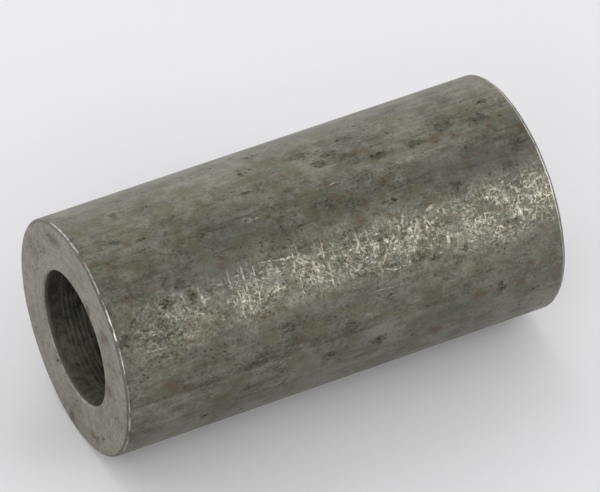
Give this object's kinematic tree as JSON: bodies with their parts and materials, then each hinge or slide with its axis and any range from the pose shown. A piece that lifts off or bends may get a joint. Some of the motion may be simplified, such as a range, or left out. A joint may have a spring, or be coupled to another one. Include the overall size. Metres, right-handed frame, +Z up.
{
  "type": "rigid sleeve coupling",
  "caption": "Plain round steel sleeve with a through bore that joins two shaft ends in line; scuffed dark drawn-bar skin, bright turned end faces and broken edges.",
  "frame": {"origin": "on the bore's axis, half way along the sleeve, where the two shaft ends meet", "axes": "+X along the bore from the front end, whose outer edge break is smaller, to the back end; +Z up with the sleeve lying on its side"},
  "size_m": [0.055, 0.028, 0.028],
  "materials": {
    "drawn_steel": "dark drawn-bar skin with pits, rust specks and bright scuffs; lighter turned end faces"
  },
  "bodies": {
    "root": {"sleeve": "drawn_steel"}
  },
  "joints": []
}
